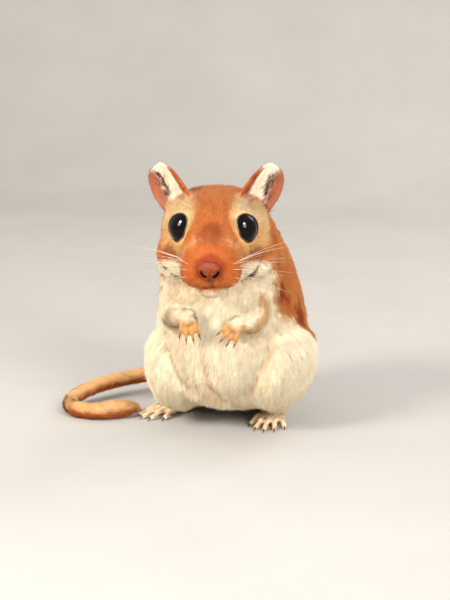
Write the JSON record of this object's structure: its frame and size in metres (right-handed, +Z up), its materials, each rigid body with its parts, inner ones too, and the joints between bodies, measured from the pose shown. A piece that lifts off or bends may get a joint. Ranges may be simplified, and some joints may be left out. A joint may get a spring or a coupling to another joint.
{
  "type": "gerbil",
  "caption": "Still, life-size gerbil sitting up on its haunches, forepaws held at its chest and its tail curled round one side.",
  "frame": {"origin": "middle of the flat of the rump, where the animal sits on the floor", "axes": "+Z up, -Y the way the chest faces, +X the animal's left"},
  "size_m": [0.0677, 0.0676, 0.0682],
  "materials": {
    "coat": "short soft fur, orange on the crown, muzzle, flank and tail, cream on the throat and belly",
    "paw": "short cream hair over tan skin, dark claws",
    "ear": "thin skin with a fringe of fine hair",
    "eye": "wet, glossy black"
  },
  "bodies": {
    "root": {"head": "coat", "neck": "coat", "torso": "coat", "foreleg_left": "coat", "foreleg_right": "coat", "hind_leg_left": "coat", "hind_leg_right": "coat", "tail_root": "coat", "tail_middle": "coat", "tail_curl": "coat", "tail_tip": "coat", "forepaw_left": "paw", "forepaw_right": "paw", "hind_foot_left": "paw", "hind_foot_right": "paw", "ear_left": "ear", "ear_right": "ear", "eye_left": "eye", "eye_right": "eye"}
  },
  "joints": []
}
